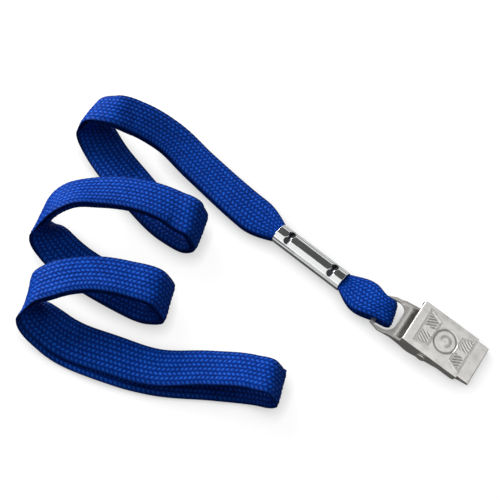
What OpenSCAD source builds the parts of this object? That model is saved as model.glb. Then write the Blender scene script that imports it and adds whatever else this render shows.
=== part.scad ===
// Neck lanyard of flat braid with a crimp sleeve and a bulldog badge clip, in millimetres.
// Origin: in the clip's flat underside, on the surface that the whole part lies on.
// +X runs along the clip towards its jaw, +Z is up.

/* [Braid] */
// Width of the flat braid
braid_w = 10; // [9:0.5:10]
// Thickness of one layer of braid
braid_t = 1.2; // [1:0.1:1.2]
// Air between the two layers
layer_gap = 0.1; // [0.05:0.05:0.15]
// Width of the braid where the crimp squeezes it
pinched_w = 5; // [4.4:0.2:5]
// Width of the braid where it passes over the tail bar
bar_loop_w = 6.6; // [6.2:0.1:6.6]

/* [Crimp] */
// Length of the sleeve
crimp_l = 21; // [20:0.5:21]
// Width of the sleeve, across its two round sides
crimp_w = 5.3; // [5:0.1:5.6]
// Height of the sleeve
crimp_h = 4.2; // [4:0.1:4.4]
// Sheet thickness of the sleeve
crimp_wall = 0.4; // [0.3:0.05:0.5]
// Turn of the sleeve away from the clip's axis, in degrees
crimp_turn = -9; // [-12:1:-6]

/* [Clip] */
// Thickness of both jaws' sheet steel
sheet = 0.6; // [0.5:0.05:0.6]
// Width of the lower jaw
base_w = 10.2; // [10:0.1:10.2]
// Width of the upper jaw
lever_w = 11.8; // [11.8:0.1:12.4]
// Slope of the upper jaw at rest, in degrees
lever_slope = 18.5; // [17:0.5:19]
// Radius of the hinge pin
pin_r = 0.8; // [0.7:0.05:0.85]
// Radial play of the upper jaw on the pin
pin_play = 0.05; // [0.03:0.01:0.1]

/* [Hidden] */
$fn = 48;

blue = [0.03, 0.16, 0.62];
nickel = [0.72, 0.71, 0.69];

// Crimp sleeve
crimp_at = [-39.5, 3.8, crimp_h / 2];
crimp_dir = [cos(crimp_turn), sin(crimp_turn), 0];
seam_w = 0.3;
stake_r = 0.6;
stake_depth = 0.25;
stake_from_end = 3.6;
stake_side = 1;

// Lower jaw
base_front = 9.6;
tail_rear = -18.2;
tail_rise = 2.6;
step_low_x = -6.4;
step_high_x = -12.2;
bar_w = 1.2;
slot_front = -12.2;
slot_w = 8.4;
slot_round = 2.4;
tail_chamfer = [2.6, 1];
tooth_h = 0.2;
tooth_pitch = 1;
pin_at = [-3, 3.2];
boss_r = 1.6;
bar_at = [tail_rear + bar_w / 2, tail_rise + sheet / 2];

// Upper jaw, measured from the pin along its own slope
lever_rear = -6.6;
lever_front = 12.6;
flange_front = 9.4;
lever_lift = 1.9;
lip_drop = 0.15;
lip_w = lever_w - 1;

// Leaf spring
spring_t = 0.35;
spring_w = 6;
spring_r = 1.5;
spring_foot = 3.4;
spring_arm = 5.2;
foot_angle = 17;
arm_angle = 159.5;
lap = 0.05;

// The two stacked layers from the crimp to where they part: x, y, z of the middle
// between them, then the bearing of the braid's width and its tilt, in degrees.
left_mouth = crimp_at - crimp_dir * crimp_l / 2;
stack_route = [
    [left_mouth.x, left_mouth.y, left_mouth.z, 90 + crimp_turn, 0],
    [-58, 6.7, 2, 77, -5],
    [-77, 11, 2.6, 80, -12],
    [-87.5, 13.2, 4.6, 88, -12],
    [-96, 11.8, 8.2, 98, -10],
    [-101.8, 9, 10.8, 104, -14],
    [-106, 7, 9.6, 100, -20],
    [-106.6, 5.8, 5.8, 86, -18],
    [-102.5, 3.5, 1.4, 66, 0],
    [-84, -4, 1.3, 80, 0],
    [-74, -6.5, 1.3, 90, 0],
    [-68, -6.8, 2.6, 97, 3],
    [-66, -6.5, 6, 104, 8],
    [-67.7, -6.1, 9, 114, 5],
    [-73, -6, 9.8, 122, -4],
    [-91.4, -12.3, 10.4, 130, -20],
    [-97.4, -17.8, 10.6, 134, -30],
    [-99.5, -22.2, 8.8, 122, -32],
    [-100, -25.5, 5.4, 104, -24],
    [-95, -27.3, 1.4, 84, 0],
    [-73.5, -29, 1.3, 100, 0],
    [-65.5, -28.1, 2.6, 105, 2],
    [-62.1, -27.2, 5.8, 109, 4],
    [-64.3, -26.6, 8.8, 112, -2],
    [-72, -28.4, 9.7, 117, -8],
    [-81, -32.5, 9.9, 128, -10],
    [-86.8, -37.8, 9.9, 132, -10],
    [-89.8, -41.8, 8.2, 122, -14],
    [-89.8, -44.9, 4.6, 106, -14],
    [-81.7, -46.9, 1.4, 88, 0],
    [-64, -44.8, 1.5, 104, 0]
];
// Each layer's own way round the end loop, up to its furthest point
lower_end = [[-55, -43, 0.8, 112, 0], [-42, -36.5, 0.8, 116, 0], [-33, -32.4, 1, 115, -2],
             [-29, -31.4, 2, 112, -7], [-27, -31.2, 4.7, 110, -11]];
upper_end = [[-56, -41.9, 2.9, 112, -6], [-44, -35.9, 5.2, 118, -13], [-34, -31.9, 7.2, 117, -15],
             [-29.4, -30.9, 7.4, 114, -13], [-27, -31.2, 4.7, 110, -11]];
slide_points = 4;
end_slide = 0.9;

// Short loop that holds the clip: leaves the crimp, turns round the tail bar and comes back
right_mouth = crimp_at + crimp_dir * crimp_l / 2;
fold_reach = 3.4;
fold_rise = 1.55;
fold_slant = 14;
loop_y = 0.1;
loop_w = 9.2;
layer_step = (braid_t + layer_gap) / 2;
function round_bar(angle) =
    [bar_at.x + fold_reach * cos(angle), loop_y, bar_at.y + fold_rise * sin(angle),
     92 + (fold_slant - 2) * cos(angle), 0];
loop_route = concat(
    [[right_mouth.x, right_mouth.y, right_mouth.z + layer_step, 90 + crimp_turn, 0],
     [-24.5, 1.2, 3.5, 86, 0]],
    [for (angle = [90:-30:-90]) round_bar(angle)],
    [[-24.5, 1.2, 1, 86, 0],
     [right_mouth.x, right_mouth.y, right_mouth.z - layer_step, 90 + crimp_turn, 0]]);

// Braid: rings of eight points, joined along a route
function unit(v) = v / norm(v);
function spot(p) = [p[0], p[1], p[2]];
function width_dir(p) = [cos(p[4]) * cos(p[3]), cos(p[4]) * sin(p[3]), sin(p[4])];
function travel_dir(route, i) =
    unit(spot(route[min(i + 1, len(route) - 1)]) - spot(route[max(i - 1, 0)]));
function face_dir(route, i) = unit(cross(width_dir(route[i]), travel_dir(route, i)));
function braid_section(w) =
    let (a = w / 2, b = braid_t / 2, c = braid_t / 4, d = a - braid_t / 3)
    [[a, -c], [a, c], [d, b], [-d, b], [-a, c], [-a, -c], [-d, -b], [d, -b]];
function ring(route, i, w) =
    [for (q = braid_section(w)) spot(route[i]) + q.x * width_dir(route[i]) + q.y * face_dir(route, i)];

module braid(route, widths) {
    sides = 8;
    last = len(route) - 1;
    points = [for (i = [0:last]) each ring(route, i, widths[i])];
    walls = [for (i = [0:last - 1], k = [0:sides - 1])
        let (a = i * sides + k, b = i * sides + (k + 1) % sides)
        each [[a, b, b + sides], [a, b + sides, a + sides]]];
    first_cap = [for (k = [sides - 1:-1:0]) k];
    last_cap = [for (k = [0:sides - 1]) last * sides + k];
    polyhedron(points, concat(walls, [first_cap, last_cap]));
}

function layer_point(i, side) =
    let (p = stack_route[i],
         parted = max(0, (i - len(stack_route) + slide_points) / (slide_points - 1)),
         at = spot(p) + side * layer_step * face_dir(stack_route, i)
              - side * end_slide * parted * width_dir(p))
    [at.x, at.y, at.z, p[3], p[4]];
function layer_route(side, end) =
    concat([for (i = [0:len(stack_route) - 1]) layer_point(i, side)], end);
function run_widths(route) = [for (i = [0:len(route) - 1]) i == 0 ? pinched_w : braid_w];

module braid_outer_run() {
    route = layer_route(1, lower_end);
    color(blue) braid(route, run_widths(route));
}

module braid_inner_run() {
    route = layer_route(-1, upper_end);
    color(blue) braid(route, run_widths(route));
}

module braid_clip_loop() {
    over_bar = [for (i = [2:len(loop_route) - 3]) bar_loop_w];
    color(blue) braid(loop_route, concat([pinched_w, loop_w], over_bar, [loop_w, pinched_w]));
}

module crimp_outline(inset) {
    r = crimp_h / 2 - inset;
    half_flat = (crimp_w - crimp_h) / 2;
    for (side = [-1, 1]) translate([side * half_flat, 0]) circle(r);
    square([2 * half_flat, 2 * r], center = true);
}

// Rolled sheet with its seam below and two pairs of stake marks on top
module crimp_sleeve() {
    color(nickel)
    translate(crimp_at) rotate([0, 0, crimp_turn]) difference() {
        rotate([90, 0, 90]) linear_extrude(crimp_l, center = true) difference() {
            crimp_outline(0);
            crimp_outline(crimp_wall);
            translate([0, -crimp_h / 2]) square([seam_w, 2 * crimp_wall + 0.2], center = true);
        }
        for (end = [-1, 1], side = [-1, 1])
            translate([end * (crimp_l / 2 - stake_from_end), side * stake_side, crimp_h / 2 - stake_depth])
                cylinder(r = stake_r, h = 1);
    }
}

// Shapes drawn in the side view are pulled out along Y
module side_plate(w) {
    rotate([90, 0, 0]) linear_extrude(w, center = true) children();
}

module both_sides(outer_w) {
    for (side = [-1, 1]) translate([0, side * (outer_w - sheet) / 2, 0]) side_plate(sheet) children();
}

module tail_slot() {
    round_x = slot_front - slot_round;
    round_y = slot_w / 2 - slot_round;
    bar_front = tail_rear + bar_w;
    translate([bar_front, -slot_w / 2]) square([round_x - bar_front, slot_w]);
    translate([bar_front, -round_y]) square([slot_front - bar_front, 2 * round_y]);
    for (side = [-1, 1]) translate([round_x, side * round_y]) circle(slot_round);
}

module jaw_teeth() {
    count = floor((base_w - tooth_pitch) / tooth_pitch);
    for (i = [0:count - 1])
        translate([base_front - sheet, (i - (count - 1) / 2) * tooth_pitch, sheet])
            rotate([90, 0, 90]) linear_extrude(sheet)
                polygon([[-tooth_pitch / 2, 0], [tooth_pitch / 2, 0], [0, tooth_h]]);
}

function step_point(t) =
    [step_low_x + t * (step_high_x - step_low_x), tail_rise * (1 - cos(180 * t)) / 2];

// Lower jaw: flat floor, stepped-up tail with the slot and bar, folded-up ears for the pin
module base_jaw() {
    color(nickel) {
        difference() {
            side_plate(base_w) polygon(concat(
                [[base_front, 0]], [for (t = [0:0.125:1]) step_point(t)],
                [[tail_rear, tail_rise], [tail_rear, tail_rise + sheet]],
                [for (t = [1:-0.125:0]) step_point(t) + [0.35, sheet]], [[base_front, sheet]]));
            translate([0, 0, -1]) linear_extrude(2 * tail_rise + 2) {
                tail_slot();
                for (side = [-1, 1])
                    polygon([[tail_rear - 1, side * base_w / 2 + side],
                             [tail_rear + tail_chamfer.x + 1, side * base_w / 2 + side],
                             [tail_rear + tail_chamfer.x, side * base_w / 2],
                             [tail_rear, side * (base_w / 2 - tail_chamfer.y)],
                             [tail_rear - 1, side * (base_w / 2 - tail_chamfer.y)]]);
            }
        }
        both_sides(base_w) difference() {
            union() {
                polygon([[-15, tail_rise + 0.1], [-13, tail_rise + 1.2], [pin_at.x, tail_rise + 1.2],
                         [pin_at.x + boss_r, pin_at.y], [0.6, 0], [step_low_x, 0],
                         [step_high_x, tail_rise]]);
                translate(pin_at) circle(boss_r);
            }
            translate(pin_at) circle(pin_r);
        }
        jaw_teeth();
    }
}

// Upper jaw: sloping plate with a bent lip, side flanges and the pin holes
module lever_jaw() {
    color(nickel)
    translate([pin_at.x, 0, pin_at.y]) rotate([0, lever_slope, 0]) {
        translate([lever_rear, -lever_w / 2, lever_lift]) cube([flange_front - lever_rear, lever_w, sheet]);
        side_plate(lip_w) polygon([
            [0, lever_lift], [lever_front - sheet, lever_lift],
            [lever_front - sheet, lever_lift - lip_drop], [lever_front, lever_lift - lip_drop],
            [lever_front, lever_lift + sheet], [0, lever_lift + sheet]]);
        both_sides(lever_w) difference() {
            union() {
                polygon([[lever_rear, 0.6], [lever_rear, lever_lift + sheet],
                         [flange_front, lever_lift + sheet], [flange_front, 0.6],
                         [flange_front - 0.5, 0.1], [lever_rear + 0.5, 0.1]]);
                circle(boss_r - 0.1);
            }
            circle(pin_r + pin_play);
        }
    }
}

// Rivet through both jaws, with a flat head at each end
module hinge_pin() {
    head_t = 0.3;
    head_r = pin_r + 0.4;
    shank = lever_w + 0.1;
    color(nickel)
    translate([pin_at.x, 0, pin_at.y]) rotate([90, 0, 0]) {
        cylinder(r = pin_r, h = shank, center = true);
        for (side = [-1, 1])
            translate([0, 0, side * (shank + head_t) / 2]) cylinder(r = head_r, h = head_t, center = true);
    }
}

// Strip bent round the pin: its foot rests on the lower jaw, its arm lifts the upper one
module leaf_spring() {
    color(nickel)
    translate([pin_at.x, 0, pin_at.y]) side_plate(spring_w) {
        difference() {
            circle(spring_r + spring_t / 2);
            circle(spring_r - spring_t / 2);
            polygon([[0, 0], 9 * [cos(arm_angle - 90), sin(arm_angle - 90)], [-9, 9], [-9, -9],
                     9 * [cos(foot_angle - 90), sin(foot_angle - 90)]]);
        }
        rotate(foot_angle) translate([-spring_foot, -spring_r - spring_t / 2])
            square([spring_foot + lap, spring_t]);
        rotate(arm_angle) translate([-lap, -spring_r - spring_t / 2])
            square([spring_arm + lap, spring_t]);
    }
}

braid_outer_run();
braid_inner_run();
braid_clip_loop();
crimp_sleeve();
base_jaw();
lever_jaw();
hinge_pin();
leaf_spring();
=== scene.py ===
import math

import bmesh
import bpy
import numpy as np
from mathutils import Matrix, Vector


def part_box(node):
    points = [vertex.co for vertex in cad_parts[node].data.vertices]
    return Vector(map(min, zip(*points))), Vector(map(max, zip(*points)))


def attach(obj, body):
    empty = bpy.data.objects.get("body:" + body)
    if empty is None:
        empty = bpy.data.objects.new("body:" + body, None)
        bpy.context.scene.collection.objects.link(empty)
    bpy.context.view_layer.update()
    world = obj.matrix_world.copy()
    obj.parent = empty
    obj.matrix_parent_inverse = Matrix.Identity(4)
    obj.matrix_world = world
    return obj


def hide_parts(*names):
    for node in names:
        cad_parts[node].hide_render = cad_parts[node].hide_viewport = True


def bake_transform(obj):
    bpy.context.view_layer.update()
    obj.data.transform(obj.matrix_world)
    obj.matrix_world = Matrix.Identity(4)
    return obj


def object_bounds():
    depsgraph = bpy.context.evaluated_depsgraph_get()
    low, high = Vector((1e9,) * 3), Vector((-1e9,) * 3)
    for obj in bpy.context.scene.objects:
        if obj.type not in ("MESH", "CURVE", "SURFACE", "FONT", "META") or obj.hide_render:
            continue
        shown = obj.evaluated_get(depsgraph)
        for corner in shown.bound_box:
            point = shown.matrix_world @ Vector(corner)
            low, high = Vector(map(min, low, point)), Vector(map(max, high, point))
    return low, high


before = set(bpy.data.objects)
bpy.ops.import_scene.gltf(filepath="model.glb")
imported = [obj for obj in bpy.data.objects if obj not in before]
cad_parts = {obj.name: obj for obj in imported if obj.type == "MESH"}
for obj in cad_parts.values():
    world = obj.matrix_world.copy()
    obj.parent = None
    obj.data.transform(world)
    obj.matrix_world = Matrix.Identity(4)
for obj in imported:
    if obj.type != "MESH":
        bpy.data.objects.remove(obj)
cadLow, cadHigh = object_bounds()
print("frame loaded:", sorted(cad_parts))


# camera, looking down at the coil from the clip's side
shot = {
    "target": (-0.0540, -0.0015, 0.0),
    "azimuth": 32.0,
    "elevation": 62.0,
    "distance": 0.417,
    "lens": 120.0,
}


def makeCamera():
    azimuth, elevation = math.radians(shot["azimuth"]), math.radians(shot["elevation"])
    back = Vector((math.sin(azimuth) * math.cos(elevation),
                   -math.cos(azimuth) * math.cos(elevation),
                   math.sin(elevation)))
    lens = bpy.data.cameras.new("camera")
    lens.lens = shot["lens"]
    lens.clip_start, lens.clip_end = 0.01, 10.0
    camera = bpy.data.objects.new("camera", lens)
    bpy.context.scene.collection.objects.link(camera)
    camera.location = Vector(shot["target"]) + back * shot["distance"]
    camera.rotation_euler = (-back).to_track_quat("-Z", "Y").to_euler()
    bpy.context.scene.camera = camera


makeCamera()
print("camera placed")


# node maths: a socket that can be added, multiplied and compared like a number
class Value:
    def __init__(self, net, socket):
        self.net, self.socket = net, socket

    def math(self, operation, *others):
        return self.net.math(operation, self, *others)

    def __add__(self, other):
        return self.math("ADD", other)

    def __radd__(self, other):
        return self.net.math("ADD", other, self)

    def __sub__(self, other):
        return self.math("SUBTRACT", other)

    def __rsub__(self, other):
        return self.net.math("SUBTRACT", other, self)

    def __mul__(self, other):
        return self.math("MULTIPLY", other)

    def __rmul__(self, other):
        return self.net.math("MULTIPLY", other, self)

    def __truediv__(self, other):
        return self.math("DIVIDE", other)

    def __rtruediv__(self, other):
        return self.net.math("DIVIDE", other, self)

    def __pow__(self, other):
        return self.math("POWER", other)

    def __mod__(self, other):
        return self.math("FLOORED_MODULO", other)

    def __abs__(self):
        return self.math("ABSOLUTE")

    def floor(self):
        return self.math("FLOOR")

    def fraction(self):
        return self.math("FRACT")

    def clamp(self, low=0.0, high=1.0):
        return self.math("MAXIMUM", low).math("MINIMUM", high)


# a node tree with one way to add any node
class Net:
    def __init__(self, tree):
        self.tree = tree

    def node(self, kind, settings=None, **inputs):
        made = self.tree.nodes.new(kind)
        for key, value in (settings or {}).items():
            setattr(made, key, value)
        for key, value in inputs.items():
            self.feed(made.inputs[key.replace("_", " ")], value)
        return made

    def feed(self, socket, value):
        if isinstance(value, Value):
            self.tree.links.new(value.socket, socket)
        elif isinstance(value, bpy.types.NodeSocket):
            self.tree.links.new(value, socket)
        else:
            socket.default_value = value

    def out(self, made, name=0):
        return Value(self, made.outputs[name])

    def math(self, operation, *values):
        made = self.node("ShaderNodeMath", {"operation": operation})
        for socket, value in zip(made.inputs, values):
            self.feed(socket, value)
        return self.out(made)


# braid: the route repeats the CAD's points, in metres, with the bearing and tilt of the width
braid = {
    "width": 0.010,
    "thickness": 0.00112,
    "gap": 0.0001,
    "pinchedWidth": 0.0050,
    "pinchLength": 0.0085,
    "columns": 8,
    "stitchLength": 0.00112,
    "rowsPerStitch": 4,
    "pointsPerColumn": 4,
    "slant": 0.55,
    "relief": 0.00011,
    "reliefMiddle": 0.55,
    "slidePoints": 4,
    "endSlide": 0.0009,
    "spanSamples": 64,
    "floorGap": 0.0001,
    "liftRows": 14,
    "sectionPower": 4.5,
    "faceReach": 0.95,
    "rimPoints": (0.972, 0.99),
    "narrowGrowth": 0.2,
}
crimp = {
    "length": 0.021,
    "width": 0.0053,
    "height": 0.0042,
    "turn": -9.0,
    "wall": 0.0004,
}
bar = {"width": 0.0012, "rear": -0.0182, "z": 0.0029}

crimpLow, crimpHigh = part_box("crimp_sleeve")
crimpMid = (crimpLow + crimpHigh) / 2
crimpTurn = math.radians(crimp["turn"])
crimpAlong = Vector((math.cos(crimpTurn), math.sin(crimpTurn), 0))
leftMouth = crimpMid - crimpAlong * crimp["length"] / 2
rightMouth = crimpMid + crimpAlong * crimp["length"] / 2
barAt = Vector((bar["rear"] + bar["width"] / 2, 0, bar["z"]))

stackRoute = [
    [leftMouth.x, leftMouth.y, leftMouth.z, 90 + crimp["turn"], 0],
    [-0.0580, 0.0067, 0.0020, 77, -5],
    [-0.0770, 0.0110, 0.0026, 80, -12],
    [-0.0875, 0.0132, 0.0046, 88, -12],
    [-0.0960, 0.0118, 0.0082, 98, -10],
    [-0.1018, 0.0090, 0.0108, 104, -14],
    [-0.1060, 0.0070, 0.0096, 100, -20],
    [-0.1066, 0.0058, 0.0058, 86, -18],
    [-0.1025, 0.0035, 0.0014, 66, 0],
    [-0.0840, -0.0040, 0.0013, 80, 0],
    [-0.0740, -0.0065, 0.0013, 90, 0],
    [-0.0680, -0.0068, 0.0026, 97, 3],
    [-0.0660, -0.0065, 0.0060, 104, 8],
    [-0.0677, -0.0061, 0.0090, 114, 5],
    [-0.0730, -0.0060, 0.0098, 122, -4],
    [-0.0914, -0.0123, 0.0104, 130, -20],
    [-0.0974, -0.0178, 0.0106, 134, -30],
    [-0.0995, -0.0222, 0.0088, 122, -32],
    [-0.1000, -0.0255, 0.0054, 104, -24],
    [-0.0950, -0.0273, 0.0014, 84, 0],
    [-0.0735, -0.0290, 0.0013, 100, 0],
    [-0.0655, -0.0281, 0.0026, 105, 2],
    [-0.0621, -0.0272, 0.0058, 109, 4],
    [-0.0643, -0.0266, 0.0088, 112, -2],
    [-0.0720, -0.0284, 0.0097, 117, -8],
    [-0.0810, -0.0325, 0.0099, 128, -10],
    [-0.0868, -0.0378, 0.0099, 132, -10],
    [-0.0898, -0.0418, 0.0082, 122, -14],
    [-0.0898, -0.0449, 0.0046, 106, -14],
    [-0.0817, -0.0469, 0.0014, 88, 0],
    [-0.0640, -0.0448, 0.0015, 104, 0],
]
lowerEnd = [
    [-0.0550, -0.0430, 0.0008, 112, 0],
    [-0.0420, -0.0365, 0.0008, 116, 0],
    [-0.0330, -0.0324, 0.0010, 115, -2],
    [-0.0290, -0.0314, 0.0020, 112, -7],
    [-0.0270, -0.0312, 0.0047, 110, -11],
]
upperEnd = [
    [-0.0560, -0.0419, 0.0029, 112, -6],
    [-0.0440, -0.0359, 0.0052, 118, -13],
    [-0.0340, -0.0319, 0.0072, 117, -15],
    [-0.0294, -0.0309, 0.0074, 114, -13],
    [-0.0270, -0.0312, 0.0047, 110, -11],
]


def widthDirs(route):
    bearing, tilt = np.radians(route[:, 3]), np.radians(route[:, 4])
    return np.stack([np.cos(tilt) * np.cos(bearing), np.cos(tilt) * np.sin(bearing), np.sin(tilt)], 1)


def unitRows(rows):
    return rows / np.linalg.norm(rows, axis=1)[:, None]


def ease(x, low, high):
    t = np.clip((x - low) / (high - low), 0, 1)
    return t * t * (3 - 2 * t)


def smoothRoute(points, spacing, beyond):
    # a smooth curve through the points and on towards the one beyond, sampled at even steps
    p = np.array(points, float)
    p = np.vstack([2 * p[0] - p[1], p, beyond if beyond is not None else 2 * p[-1] - p[-2]])
    reach = np.linalg.norm(np.diff(p[:, :3], axis=0), axis=1)
    dense = []
    for i in range(1, len(p) - 2):
        before, here, after = reach[i - 1], reach[i], reach[i + 1]
        arriving, passing = (p[i] - p[i - 1]) / before, (p[i + 1] - p[i]) / here
        leaving = (p[i + 2] - p[i + 1]) / after
        start = (arriving * here + passing * before) / (before + here) * here
        end = (passing * after + leaving * here) / (here + after) * here
        t = np.linspace(0, 1, braid["spanSamples"], endpoint=False)[:, None]
        dense.append((2 * t**3 - 3 * t**2 + 1) * p[i] + (t**3 - 2 * t**2 + t) * start
                     + (3 * t**2 - 2 * t**3) * p[i + 1] + (t**3 - t**2) * end)
    dense = np.vstack(dense + [p[-2][None]])
    run = np.concatenate([[0], np.cumsum(np.linalg.norm(np.diff(dense[:, :3], axis=0), axis=1))])
    count = max(2, round(run[-1] / spacing))
    at = np.linspace(0, run[-1], count + 1)
    return np.stack([np.interp(at, run, dense[:, k]) for k in range(5)], 1), at


def layerRoute(side, end):
    # one of the two stacked layers, then its own way round the end loop
    route = np.array(stackRoute, float)
    across = widthDirs(route)
    facing = unitRows(np.cross(across, np.gradient(route[:, :3], axis=0)))
    step = (braid["thickness"] + 2 * braid["gap"]) / 2
    first = len(route) - braid["slidePoints"]
    for i in range(len(route)):
        parted = max(0.0, (i - first) / (braid["slidePoints"] - 1))
        route[i, :3] += side * step * facing[i] - side * braid["endSlide"] * parted * across[i]
    return np.vstack([route, np.array(end, float)])


def restOnFloor(line, layer):
    # lifts the dips of the smooth curve so that each layer lies on what is under it
    tilt = np.radians(line[:, 4])
    facing = np.cross(widthDirs(line), np.gradient(line[:, :3], axis=0))
    least = braid["thickness"] / 2 + braid["floorGap"] + np.abs(np.sin(tilt)) * braid["width"] / 2
    least = np.where(facing[:, 2] * layer > 0, least + braid["thickness"] + 2 * braid["gap"], least)
    reach = braid["liftRows"]
    need = np.pad(np.maximum(0, least - line[:, 2]), 2 * reach)
    windows = np.lib.stride_tricks.sliding_window_view
    need = windows(need, 2 * reach + 1).max(axis=1)
    line[:, 2] += windows(need, 2 * reach + 1).mean(axis=1)


def sectionOutline():
    # points round a flat section, as (across from -1 to 1, through from -1 to 1)
    faceCount = braid["columns"] * braid["pointsPerColumn"]
    face = np.linspace(-braid["faceReach"], braid["faceReach"], faceCount + 1)
    rim = np.array(braid["rimPoints"])
    across = np.concatenate([face, rim, [1.0], rim[::-1]])
    half = np.sqrt(np.clip(1 - np.abs(across) ** braid["sectionPower"], 0, 1))
    half[-2:] *= -1
    upper = np.stack([across, half], 1)
    return np.vstack([upper, -upper])


def braidStrip(name, route, widthAt, phase, side, beyond=None):
    # closed strip along a route; keeps where each point is in the pattern
    spacing = braid["stitchLength"] / braid["rowsPerStitch"]
    line, run = smoothRoute(route, spacing, beyond)
    restOnFloor(line, side)
    travel = np.gradient(line[:, :3], axis=0)
    if beyond is not None:
        travel[-1] = (0, 0, side)
    travel = unitRows(travel)
    across = widthDirs(line)
    across = unitRows(across - travel * np.sum(across * travel, axis=1)[:, None])
    facing = np.cross(across, travel)
    width = widthAt(run, run[-1])
    thick = braid["thickness"] * (braid["width"] / width) ** braid["narrowGrowth"]
    outline = sectionOutline()
    rows, sides = len(line), len(outline)
    points = (line[:, None, :3]
              + across[:, None, :] * (outline[None, :, 0, None] * width[:, None, None] / 2)
              + facing[:, None, :] * (outline[None, :, 1, None] * thick[:, None, None] / 2))
    index = np.arange(rows * sides).reshape(rows, sides)
    nextSide = np.roll(index, -1, axis=1)
    faces = np.stack([index[:-1], index[1:], nextSide[1:], nextSide[:-1]], -1).reshape(-1, 4).tolist()
    faces += [index[0].tolist(), index[-1][::-1].tolist()]
    mesh = bpy.data.meshes.new(name)
    mesh.from_pydata(points.reshape(-1, 3).tolist(), [], faces)
    patternAlong = phase(run, run[-1])
    values = {
        "along": np.repeat(patternAlong / braid["stitchLength"], sides),
        "across": np.tile((outline[:, 0] + 1) / 2 * braid["columns"], rows),
        "side": np.tile(np.sign(outline[:, 1] + 1e-9) * side, rows),
    }
    for key, array in values.items():
        attribute = mesh.attributes.new(key, "FLOAT", "POINT")
        attribute.data.foreach_set("value", array.astype(np.float32))
    mesh.shade_smooth()
    strip = bpy.data.objects.new(name, mesh)
    bpy.context.scene.collection.objects.link(strip)
    return strip, line, run[-1]


def stitchHeight(net, along, across, side, slant):
    # pillow-shaped stitches in columns that lean left and right by turns, from 0 to 1
    column = across.floor()
    odd = column % 2.0
    lean = (odd * 2.0 - 1.0) * side
    f = across.fraction() - 0.5
    g = (along + lean * f * slant + odd * 0.5).fraction() - 0.5
    pillow = (1.0 - (g * 2.0) ** 2.0).clamp() ** 0.5
    crown = (1.0 - abs(f * 2.0) ** 3.0).clamp()
    return pillow * crown


def namedFloat(net, name):
    return net.out(net.node("GeometryNodeInputNamedAttribute", {"data_type": "FLOAT"}, Name=name))


def reliefTree():
    # geometry nodes that raise the stitches out of a plain strip
    tree = bpy.data.node_groups.new("braidRelief", "GeometryNodeTree")
    face = tree.interface
    face.new_socket("Geometry", in_out="INPUT", socket_type="NodeSocketGeometry")
    for name in ("Relief", "Slant"):
        face.new_socket(name, in_out="INPUT", socket_type="NodeSocketFloat")
    face.new_socket("Material", in_out="INPUT", socket_type="NodeSocketMaterial")
    face.new_socket("Geometry", in_out="OUTPUT", socket_type="NodeSocketGeometry")
    net = Net(tree)
    start, end = net.node("NodeGroupInput"), net.node("NodeGroupOutput")
    height = stitchHeight(net, namedFloat(net, "along"), namedFloat(net, "across"),
                          namedFloat(net, "side"), net.out(start, "Slant"))
    lift = (height - braid["reliefMiddle"]) * net.out(start, "Relief") * 2.0
    normal = net.node("GeometryNodeInputNormal")
    offset = net.node("ShaderNodeVectorMath", {"operation": "SCALE"})
    tree.links.new(normal.outputs[0], offset.inputs["Vector"])
    net.feed(offset.inputs["Scale"], lift)
    moved = net.node("GeometryNodeSetPosition")
    tree.links.new(start.outputs["Geometry"], moved.inputs["Geometry"])
    tree.links.new(offset.outputs["Vector"], moved.inputs["Offset"])
    real = net.node("GeometryNodeRealizeInstances")
    tree.links.new(moved.outputs["Geometry"], real.inputs["Geometry"])
    dressed = net.node("GeometryNodeSetMaterial")
    tree.links.new(real.outputs["Geometry"], dressed.inputs["Geometry"])
    tree.links.new(start.outputs["Material"], dressed.inputs["Material"])
    tree.links.new(dressed.outputs["Geometry"], end.inputs["Geometry"])
    return tree


def setInput(modifier, name, value):
    for item in modifier.node_group.interface.items_tree:
        if item.item_type == "SOCKET" and item.in_out == "INPUT" and item.name == name:
            modifier[item.identifier] = value


def bakeModifiers(piece):
    # turns the evaluated piece into a plain mesh
    graph = bpy.context.evaluated_depsgraph_get()
    plain = bpy.data.meshes.new_from_object(piece.evaluated_get(graph), depsgraph=graph)
    piece.modifiers.clear()
    piece.data = plain
    return piece


def grow(piece, tree, **values):
    modifier = piece.modifiers.new(tree.name, "NODES")
    modifier.node_group = tree
    for name, value in values.items():
        setInput(modifier, name, value)
    return bakeModifiers(piece)


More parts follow.
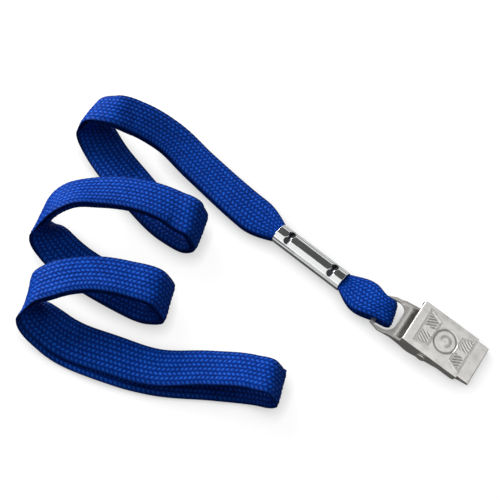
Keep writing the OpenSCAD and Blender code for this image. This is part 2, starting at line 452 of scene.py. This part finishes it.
# materials
cloth = {
    # the next colour is painted shade in the hollows between the stitches
    "deep": (0.0010, 0.020, 0.20, 1),
    "body": (0.0018, 0.062, 0.52, 1),
    # the next colour is painted highlight on the stitch tops
    "crestHighlight": (0.018, 0.155, 0.78, 1),
    # the next colour is painted shade along both edges of the braid
    "edgeShade": (0.0011, 0.014, 0.130, 1),
    "roughness": 0.58,
    "glint": 0.14,
    "specular": 0.10,
    "specularTint": (0.12, 0.42, 1.0, 1),
    "toneSpread": 0.34,
    "patchSpread": 0.5,
    "patchScale": 90.0,
    "yarnGain": 0.8,
    "yarnBase": 0.15,
    "crestFrom": 0.84,
    "crestGain": 6.5,
    "edgeGain": 5.0,
    "edgeBase": 0.08,
    "edgePower": 0.7,
    "stitchBump": 0.00010,
    "fibreBump": 0.000010,
    "fibresPerStitch": 4.0,
}
metal = {
    "satin": {"colour": (0.70, 0.685, 0.66, 1), "roughness": 0.34,
              "grain": 0.0000035, "wander": 0.00003, "dirt": 0.20},
    "bright": {"colour": (0.72, 0.73, 0.73, 1), "roughness": 0.11,
               "grain": 0.0000012, "wander": 0.00003, "dirt": 0.07},
    "spring": {"colour": (0.50, 0.49, 0.48, 1), "roughness": 0.28,
               "grain": 0.000002, "wander": 0.00001, "dirt": 0.15},
    # painted shade for the insides of stake marks and stamped grooves
    "hollowShade": (0.035, 0.037, 0.042, 1),
    "grainScale": (260.0, 3200.0, 3200.0),
    "filmScale": 420.0,
    "waveScale": 330.0,
    "filmFrom": 0.45,
    "filmGain": 3.0,
    "filmDirt": 0.7,
    "streakDirt": 0.8,
    "streakRoughness": 0.25,
    "filmRoughness": 0.10,
}


def newMaterial(name):
    material = bpy.data.materials.new(name)
    material.use_nodes = True
    net = Net(material.node_tree)
    shader = next(n for n in material.node_tree.nodes if n.type == "BSDF_PRINCIPLED")
    return material, net, shader


def pieceValue(net, name):
    return net.out(net.node("ShaderNodeAttribute", {"attribute_name": name}), "Fac")


def mixColour(net, factor, first, second):
    mix = net.node("ShaderNodeMix", {"data_type": "RGBA"})
    net.feed(mix.inputs[0], factor)
    net.feed(mix.inputs[6], first)
    net.feed(mix.inputs[7], second)
    return mix.outputs[2]


def braidMaterial():
    material, net, shader = newMaterial("blueBraid")
    along, across, side = (pieceValue(net, n) for n in ("along", "across", "side"))
    height = stitchHeight(net, along, across, side, braid["slant"])
    cell = net.node("ShaderNodeCombineXYZ", X=along.floor(), Y=across.floor(), Z=side)
    tone = net.node("ShaderNodeTexWhiteNoise", {"noise_dimensions": "3D"})
    net.feed(tone.inputs["Vector"], cell.outputs[0])
    patches = net.node("ShaderNodeTexNoise", Scale=cloth["patchScale"], Detail=2.0)
    net.feed(patches.inputs["Vector"], net.node("ShaderNodeTexCoord").outputs["Object"])
    lightness = ((net.out(tone, "Value") - 0.5) * cloth["toneSpread"]
                 + (net.out(patches, "Fac") - 0.5) * cloth["patchSpread"])
    # painted shade in the hollows between the stitches, mixed with random tone
    stitchShadeAndTone = (height ** 1.5 * cloth["yarnGain"] + cloth["yarnBase"] + lightness).clamp()
    # painted highlight on the stitch tops
    crown = ((height - cloth["crestFrom"]) * cloth["crestGain"] + lightness).clamp()
    # painted shade darkens both edges, where the yarns also turn under
    fromEdge = (1.0 - abs(across / (braid["columns"] / 2.0) - 1.0)) * cloth["edgeGain"]
    clearOfEdgeShade = (fromEdge + cloth["edgeBase"]).clamp() ** cloth["edgePower"]
    colour = mixColour(net, stitchShadeAndTone, cloth["deep"], cloth["body"])
    colour = mixColour(net, crown, colour, cloth["crestHighlight"])
    colour = mixColour(net, clearOfEdgeShade, cloth["edgeShade"], colour)
    net.feed(shader.inputs["Base Color"], colour)
    fibres = ((across.fraction() - 0.5) * cloth["fibresPerStitch"] * 2.0 * math.pi).math("SINE")
    relief = height * cloth["stitchBump"] + fibres * cloth["fibreBump"]
    bump = net.node("ShaderNodeBump", Distance=1.0, Height=relief)
    net.feed(shader.inputs["Normal"], bump.outputs[0])
    net.feed(shader.inputs["Roughness"], cloth["roughness"] - height * cloth["glint"])
    shader.inputs["Specular IOR Level"].default_value = cloth["specular"]
    shader.inputs["Specular Tint"].default_value = cloth["specularTint"]
    return material


def metalMaterial(name, colour, roughness, grain, wander, dirt):
    # plated steel: fine grain along the sheet, soft dents and a duller film in patches
    material, net, shader = newMaterial(name)
    place = net.node("ShaderNodeTexCoord").outputs["Object"]
    stretch = net.node("ShaderNodeMapping", Scale=metal["grainScale"])
    net.feed(stretch.inputs["Vector"], place)
    lines = net.node("ShaderNodeTexNoise", Scale=1.0, Detail=3.0)
    net.feed(lines.inputs["Vector"], stretch.outputs[0])
    film = net.node("ShaderNodeTexNoise", Scale=metal["filmScale"], Detail=4.0, Roughness=0.6)
    net.feed(film.inputs["Vector"], place)
    waves = net.node("ShaderNodeTexNoise", Scale=metal["waveScale"], Detail=1.0)
    net.feed(waves.inputs["Vector"], place)
    streak, cloud = net.out(lines, "Fac"), net.out(film, "Fac")
    dull = ((cloud - metal["filmFrom"]) * metal["filmGain"]).clamp()
    darker = tuple(c * (1 - dirt) for c in colour[:3]) + (1,)
    dirty = dull * metal["filmDirt"] + (streak - 0.5) * metal["streakDirt"] * dirt
    plain = mixColour(net, dirty, colour, darker)
    # painted shade inside stake marks and stamped grooves
    inMarkShade = pieceValue(net, "hollowShade").clamp()
    net.feed(shader.inputs["Base Color"], mixColour(net, inMarkShade, plain, metal["hollowShade"]))
    rough = (streak - 0.5) * metal["streakRoughness"] + dull * metal["filmRoughness"] + roughness
    net.feed(shader.inputs["Roughness"], rough.clamp(0.04, 0.9))
    bump = net.node("ShaderNodeBump", Distance=1.0, Height=streak * grain + net.out(waves, "Fac") * wander)
    net.feed(shader.inputs["Normal"], bump.outputs[0])
    shader.inputs["Metallic"].default_value = 1.0
    return material


blueBraid = braidMaterial()
satinNickel = metalMaterial("satinNickel", **metal["satin"])
brightNickel = metalMaterial("brightNickel", **metal["bright"])
springSteel = metalMaterial("springSteel", **metal["spring"])
print("materials made")


def runWidth(run, length):
    t = np.clip(run / braid["pinchLength"], 0, 1)
    opened = np.sin(t * math.pi / 2)
    return braid["pinchedWidth"] + (braid["width"] - braid["pinchedWidth"]) * opened


relief = reliefTree()
outerRun, outerLine, outerLength = braidStrip(
    "braidOuterRun", layerRoute(1, lowerEnd), runWidth, lambda run, length: run, 1,
    upperEnd[-2])
innerRun, innerLine, innerLength = braidStrip(
    "braidInnerRun", layerRoute(-1, upperEnd), runWidth,
    lambda run, length: outerLength + length - run, -1, lowerEnd[-2])


loop = {
    "width": 0.0088,
    "mouthWidth": 0.0032,
    "barWidth": 0.0066,
    "swell": (-0.003, 0.0065),
    "neck": (0.0070, 0.0125),
    "approach": (-0.0245, 0.0012),
    "approachHeights": (0.0035, 0.0010),
    "approachBearing": 86,
    "rise": 0.00155,
    "reach": 0.0034,
    "y": 0.0001,
    "bearing": 92,
    "slant": 12.0,
}


def clipLoop():
    # over the tail bar, round it in a slanted fold and back to the crimp
    layerStep = (braid["thickness"] + braid["gap"]) / 2
    turn = []
    for angle in range(90, -91, -30):
        forward, rise = math.cos(math.radians(angle)), math.sin(math.radians(angle))
        turn.append([barAt.x + loop["reach"] * forward, loop["y"],
                     barAt.z + loop["rise"] * rise, loop["bearing"] + loop["slant"] * forward, 0])
    there, back = ([*loop["approach"], z, loop["approachBearing"], 0] for z in loop["approachHeights"])
    bearing = 90 + crimp["turn"]
    route = ([[rightMouth.x, rightMouth.y, rightMouth.z + layerStep, bearing, 0], there] + turn
             + [back, [rightMouth.x, rightMouth.y, rightMouth.z - layerStep, bearing, 0]])

    def loopWidth(run, length):
        near = np.minimum(run, length - run)
        swell, neck = ease(near, *loop["swell"]), ease(near, *loop["neck"])
        return (loop["mouthWidth"] + (loop["width"] - loop["mouthWidth"]) * swell
                + (loop["barWidth"] - loop["width"]) * neck)

    return braidStrip("braidClipLoop", route, loopWidth, lambda run, length: run, 1)


clipBraid = clipLoop()[0]
for piece, node in ((outerRun, "braid_outer_run"), (innerRun, "braid_inner_run"),
                    (clipBraid, "braid_clip_loop")):
    grow(piece, relief, Relief=braid["relief"], Slant=braid["slant"], Material=blueBraid)
    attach(piece, "lanyard")
    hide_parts(node)
print("braid made:", round(outerLength * 1000), "and", round(innerLength * 1000), "mm")


# metal parts: copies of the CAD parts with their edges eased
edges = {
    "base_jaw": 0.00009,
    "lever_jaw": 0.00012,
    "hinge_pin": 0.00008,
    "leaf_spring": 0.00005,
    "segments": 2,
    "sharpFrom": 35,
    "weld": 0.000002,
    "flatWithin": 0.6,
}
stamp = {
    "grid": 0.00011,
    "rear": -0.0066,
    "flangeFront": 0.0094,
    "front": 0.0126,
    "width": 0.0118,
    "lipWidth": 0.0108,
    "top": 0.0025,
    "slope": 18.5,
    "pin": (-0.0030, 0.0032),
    "skin": 0.00018,
    "height": 0.00018,
    # the next value sets painted shade in the stamped grooves, by their depth
    "grooveShade": 0.85,
    "rearPanel": (-0.0042, -0.0006, 0.0047, 0.0034),
    "frontPanel": (0.0058, 0.0090, 0.0033, 0.0047),
    "ribPitch": 0.00080,
    "ribWidth": 0.00032,
    "ribLean": 0.55,
    "ribInset": (0.0004, 0.0006),
    "ribSplit": (0.0006, 0.0009),
    "frameRise": 0.5,
    "ringAt": 0.0026,
    "ringRadius": (0.0029, 0.0018),
    "ringWidth": 0.00042,
    "domeRise": 0.9,
    "fieldHalf": 0.0060,
    "fieldRear": -0.0066,
    "fieldFront": 0.0094,
    "fieldRise": 0.35,
    "fold": 0.00012,
    "foldReach": 0.00018,
    "sunk": 0.0003,
    "sideGap": 0.00001,
}


sleeve = {
    "alongSteps": 150,
    "roundSteps": 128,
    "lip": 0.00010,
    "stakeFromEnd": 0.0036,
    "stakeSide": 0.00100,
    "stakeRadius": 0.00100,
    "stakeDepth": 0.00033,
    "stakePower": 2.2,
    "bridgeHalf": 0.0006,
    "bridgeDepth": 0.75,
    "darkFrom": 0.18,
    "mouthWall": 0.9,
    "mouthRun": 0.004,
    "seamGap": 0.00030,
}


def sleeveSection(inset, steps):
    # round-sided outline that starts and ends at the seam below
    radius = crimp["height"] / 2 - inset
    flat = (crimp["width"] - crimp["height"]) / 2
    total = 4 * flat + 2 * math.pi * radius
    gap = sleeve["seamGap"] / 2
    out = []
    for step in np.linspace(gap, total - gap, steps):
        d = step
        if d < flat:
            out.append((d, -radius))
        elif d < flat + math.pi * radius:
            a = (d - flat) / radius - math.pi / 2
            out.append((flat + radius * math.cos(a), radius * math.sin(a)))
        elif d < 3 * flat + math.pi * radius:
            out.append((flat - (d - flat - math.pi * radius), radius))
        elif d < 3 * flat + 2 * math.pi * radius:
            a = (d - 3 * flat - math.pi * radius) / radius + math.pi / 2
            out.append((-flat + radius * math.cos(a), radius * math.sin(a)))
        else:
            out.append((-flat + (d - 3 * flat - 2 * math.pi * radius), -radius))
    return np.array(out)


def crimpSleeve():
    # rolled sheet with its seam below, pressed in at two places above
    half = crimp["length"] / 2
    lip = sleeve["lip"]
    inner = np.linspace(-half + lip, half - lip, sleeve["alongSteps"])
    stations = [(x, 0.0) for x in inner]
    rim = [(half - lip * (1 - math.sin(a)), lip * (1 - math.cos(a))) for a in (0.5, 1.0, math.pi / 2)]
    outward = [(-x, inset) for x, inset in rim[::-1]] + stations + rim
    thinned, mouthRun = crimp["wall"] * sleeve["mouthWall"], sleeve["mouthRun"]
    inward = [(half, thinned), (half - mouthRun, crimp["wall"]),
              (-half + mouthRun, crimp["wall"]), (-half, thinned)]
    rings, hollowShades = [], []
    across = Vector((-crimpAlong.y, crimpAlong.x, 0))
    for x, inset in outward + inward:
        section = sleeveSection(inset, sleeve["roundSteps"])
        side, rise = section[:, 0].copy(), section[:, 1].copy()
        hollowShade = np.zeros(len(side))
        if inset < crimp["wall"] * 0.5:
            for end in (-1, 1):
                at = end * (half - sleeve["stakeFromEnd"])
                dent = np.zeros(len(side))
                for spot in (-1, 1):
                    away = np.hypot(x - at, side - spot * sleeve["stakeSide"]) / sleeve["stakeRadius"]
                    dent = np.maximum(dent, 1 - np.clip(away, 0, 1) ** sleeve["stakePower"])
                bridge = 1 - np.clip(abs(x - at) / sleeve["bridgeHalf"], 0, 1) ** 2
                bridge = bridge * (np.abs(side) < sleeve["stakeSide"])
                dent = np.maximum(dent, bridge * sleeve["bridgeDepth"])
                dent = np.where(rise > 0, dent, 0)
                rise -= dent * sleeve["stakeDepth"]
                # painted shade in the stake marks, by how deep they are pressed
                hollowShade = np.maximum(hollowShade, ease(dent, 0.0, sleeve["darkFrom"]))
        ring = (np.array(crimpMid)[None, :] + x * np.array(crimpAlong)[None, :]
                + side[:, None] * np.array(across)[None, :])
        ring[:, 2] += rise
        rings.append(ring)
        hollowShades.append(hollowShade)
    points = np.array(rings)
    count, steps = points.shape[:2]
    index = np.arange(count * steps).reshape(count, steps)
    nextRing = np.roll(index, -1, axis=0)
    corners = [index[:, :-1], index[:, 1:], nextRing[:, 1:], nextRing[:, :-1]]
    faces = np.stack(corners, -1).reshape(-1, 4).tolist()
    faces += [index[:, 0].tolist(), index[::-1, -1].tolist()]
    return plainPiece("crimpSleeve", points.reshape(-1, 3).tolist(), faces, brightNickel, 40,
                      np.array(hollowShades).ravel())


def plainPiece(name, points, faces, material, sharp, hollowShade):
    mesh = bpy.data.meshes.new(name)
    mesh.from_pydata(points, [], faces)
    # painted shade: this per-point value darkens the metal's colour in stake marks and stamped grooves
    attribute = mesh.attributes.new("hollowShade", "FLOAT", "POINT")  # how deep each point lies in a mark
    attribute.data.foreach_set("value", hollowShade.astype(np.float32))
    body = bmesh.new()
    body.from_mesh(mesh)
    bmesh.ops.recalc_face_normals(body, faces=body.faces)
    body.to_mesh(mesh)
    body.free()
    mesh.shade_smooth()
    mesh.set_sharp_from_angle(angle=math.radians(sharp))
    mesh.materials.append(material)
    piece = bpy.data.objects.new(name, mesh)
    bpy.context.scene.collection.objects.link(piece)
    return piece


def easedCopy(node, name, material):
    # the CAD part's faces merged, its edges rounded a little
    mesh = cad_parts[node].data.copy()
    mesh.name = name
    body = bmesh.new()
    body.from_mesh(mesh)
    bmesh.ops.remove_doubles(body, verts=body.verts, dist=edges["weld"])
    bmesh.ops.dissolve_limit(body, angle_limit=math.radians(edges["flatWithin"]),
                             verts=body.verts, edges=body.edges)
    bmesh.ops.recalc_face_normals(body, faces=body.faces)
    body.to_mesh(mesh)
    body.free()
    mesh.shade_smooth()
    piece = bpy.data.objects.new(name, mesh)
    bpy.context.scene.collection.objects.link(piece)
    bevel = piece.modifiers.new("eased", "BEVEL")
    bevel.width, bevel.segments = edges[node], edges["segments"]
    bevel.limit_method, bevel.angle_limit = "ANGLE", math.radians(edges["sharpFrom"])
    bevel.use_clamp_overlap = True
    piece.modifiers.new("faces", "WEIGHTED_NORMAL").keep_sharp = True
    bakeModifiers(piece)
    piece.data.materials.clear()
    piece.data.materials.append(material)
    return piece


def ridge(distance, width):
    # a rounded line as high as 1 along distance 0
    return 1 - ease(np.abs(distance), width * 0.25, width * 0.75)


def panelHeight(u, v, panel, lean):
    # a raised frame in the shape of a trapezium, filled with slanted ribs
    rear, front, rearHalf, frontHalf = panel
    t = (u - rear) / (front - rear)
    half = rearHalf + (frontHalf - rearHalf) * t
    inside = np.minimum(np.minimum(u - rear, front - u), half - np.abs(v))
    line = ridge(inside, stamp["ribWidth"])
    wave = (np.abs(v) + lean * (u - rear) * stamp["ribLean"]) / stamp["ribPitch"]
    offset = (wave - np.floor(wave) - 0.5) * stamp["ribPitch"]
    ribs = ridge(offset, stamp["ribWidth"]) * ease(inside, *stamp["ribInset"])
    ribs *= ease(np.abs(v), *stamp["ribSplit"])
    return line * stamp["frameRise"] - ribs


def stampHeight(u, v):
    height = panelHeight(u, v, stamp["rearPanel"], -1) + panelHeight(u, v, stamp["frontPanel"], 1)
    away = np.hypot(u - stamp["ringAt"], v)
    outer, inner = stamp["ringRadius"]
    height = height - ridge(away - outer, stamp["ringWidth"])
    height = height + (1 - ease(away, inner * 0.4, inner)) * stamp["domeRise"]
    # a shallow swell over the whole stamped field
    swell = (ease(stamp["fieldHalf"] - np.abs(v), 0.0003, 0.0016)
             * ease(u - stamp["fieldRear"], 0.0004, 0.0020)
             * ease(stamp["fieldFront"] - u, 0.0001, 0.0006))
    return height + swell * stamp["fieldRise"]


def onLever(u, v, height):
    # points given along, across and above the pin, placed in the frame
    turn = math.radians(stamp["slope"])
    x = stamp["pin"][0] + u * math.cos(turn) + height * math.sin(turn)
    z = stamp["pin"][1] - u * math.sin(turn) + height * math.cos(turn)
    return np.stack([x, v, z], -1)


def stampedSkin():
    # the upper jaw's stamped face, a thin closed slab laid on its plate
    length = stamp["front"] - stamp["rear"]
    us = np.linspace(stamp["rear"], stamp["front"], round(length / stamp["grid"]) + 1)
    vs = np.linspace(-1, 1, round(stamp["width"] / stamp["grid"]) + 1)
    u = np.repeat(us, len(vs)).reshape(len(us), len(vs))
    half = np.where(us > stamp["flangeFront"], stamp["lipWidth"], stamp["width"]) / 2 - stamp["sideGap"]
    v = half[:, None] * vs[None, :]
    toSide = half[:, None] - np.abs(v)
    toEnd = np.minimum(u - stamp["rear"], stamp["front"] - u)
    rim = np.minimum(np.minimum(toSide, toEnd) / stamp["foldReach"], 1)
    rounding = np.sqrt(np.clip(1 - (1 - rim) ** 2, 0, 1))
    relief = stampHeight(u, v)
    height = (stamp["top"] - stamp["fold"] + rounding * (stamp["fold"] + stamp["skin"])
              + rounding * relief * stamp["height"])
    count, cols = u.shape
    top = onLever(u, v, height).reshape(-1, 3)
    low = onLever(u, v, stamp["top"] - stamp["sunk"])
    index = np.arange(count * cols).reshape(count, cols)
    corners = [index[:-1, :-1], index[1:, :-1], index[1:, 1:], index[:-1, 1:]]
    faces = np.stack(corners, -1).reshape(-1, 4).tolist()
    border = np.concatenate([index[0, :-1], index[:-1, -1], index[-1, :0:-1], index[:0:-1, 0]])
    base = low.reshape(-1, 3)[border]
    start = len(top)
    ring = np.arange(len(border)) + start
    nextBorder, nextRing = np.roll(border, -1), np.roll(ring, -1)
    faces += np.stack([border, nextBorder, nextRing, ring], -1).tolist()
    faces.append(ring[::-1].tolist())
    hollowShade = np.zeros(len(top) + len(base))
    # painted shade in the stamped grooves
    hollowShade[:len(top)] = np.clip(-relief.ravel() * stamp["grooveShade"], 0, 1)
    return plainPiece("leverFace", np.vstack([top, base]).tolist(), faces, satinNickel, 60, hollowShade)


for node, name, material, ridesOn, slot in (
        ("base_jaw", "lowerJaw", satinNickel, "clip_base", "satin_nickel"),
        ("lever_jaw", "upperJaw", satinNickel, "clip_lever", "satin_nickel"),
        ("hinge_pin", "hingePin", satinNickel, "clip_base", "satin_nickel")):
    piece = easedCopy(node, name, material)
    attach(piece, ridesOn)
    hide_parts(node)
crimpPiece = crimpSleeve()
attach(crimpPiece, "lanyard")
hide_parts("crimp_sleeve")
leverFace = stampedSkin()
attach(leverFace, "clip_lever")
leafSpring = easedCopy("leaf_spring", "leafSpring", springSteel)
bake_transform(leafSpring)
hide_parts("leaf_spring")
print("metal parts dressed")


# floor and soft studio light
studio = {
    "floor": (0.20, 0.20, 0.20, 1),
    "floorHalf": 3.0,
    "floorGlow": 0.90,
    "contactReach": 0.0045,
    "contactShade": 0.55,
    "world": 0.10,
}
boxes = {
    "key": {"place": (-0.80, 0.32, 0.38), "size": (0.70, 0.60), "radiance": 9.0, "lights": True},
    "fill": {"place": (-0.10, 0.05, 0.90), "size": (0.9, 0.9), "radiance": 0.55,
             "lights": True, "shows": False},
    "top": {"place": (0.02, -0.300, 0.72), "size": (1.3, 1.25), "radiance": 1.05},
    "farRight": {"place": (0.46, 0.42, 0.75), "size": (0.5, 0.45), "radiance": 1.00},
    "farStrip": {"place": (0.0, 0.90, -0.25), "size": (1.6, 0.5), "radiance": 0.85},
    "nearStrip": {"place": (0.0, -1.00, 0.02), "size": (1.8, 1.3), "radiance": 0.75},
    "farBox": {"place": (-0.10, 0.85, 0.38), "size": (1.6, 0.40), "radiance": 0.85},
    "rightBox": {"place": (1.00, 0.0, 0.30), "size": (1.2, 0.5), "radiance": 0.85},
}


def makeStage():
    mesh = bpy.data.meshes.new("floor")
    half = studio["floorHalf"]
    mesh.from_pydata([(-half, -half, 0), (half, -half, 0), (half, half, 0), (-half, half, 0)], [],
                     [(0, 1, 2, 3)])
    floor = bpy.data.objects.new("floor", mesh)
    bpy.context.scene.collection.objects.link(floor)
    material, net, shader = newMaterial("paleFloor")
    shader.inputs["Base Color"].default_value = studio["floor"]
    shader.inputs["Roughness"].default_value = 0.7
    shade = net.node("ShaderNodeAmbientOcclusion", {"samples": 8}, Distance=studio["contactReach"])
    shaded = (studio["contactShade"],) * 3 + (1,)
    net.feed(shader.inputs["Emission Color"],
             mixColour(net, net.out(shade, "AO") ** 1.5, shaded, (1, 1, 1, 1)))
    shader.inputs["Emission Strength"].default_value = studio["floorGlow"]
    floor.data.materials.append(material)
    floor.visible_diffuse = False  # keeps the undersides of the braid deep
    floor.visible_glossy = False  # dark flanks on the metal


def softBox(name):
    box = boxes[name]
    data = bpy.data.lights.new(name, "AREA")
    data.shape = "RECTANGLE"
    data.size, data.size_y = box["size"]
    data.energy = box["radiance"] * math.pi * box["size"][0] * box["size"][1]
    light = bpy.data.objects.new(name, data)
    bpy.context.scene.collection.objects.link(light)
    light.visible_camera = False
    light.visible_diffuse = box.get("lights", False)
    light.visible_glossy = box.get("shows", True)
    middle = (cadLow + cadHigh) / 2
    light.location = middle + Vector(box["place"])
    light.rotation_euler = (-Vector(box["place"])).to_track_quat("-Z", "Y").to_euler()


def makeLight():
    for name in boxes:
        softBox(name)
    world = bpy.data.worlds.new("studio")
    bpy.context.scene.world = world
    world.use_nodes = True
    back = world.node_tree.nodes["Background"]
    back.inputs["Color"].default_value = (1, 1, 1, 1)
    back.inputs["Strength"].default_value = studio["world"]
    bpy.context.scene.view_settings.view_transform = "Standard"


makeStage()
makeLight()
print("stage set")
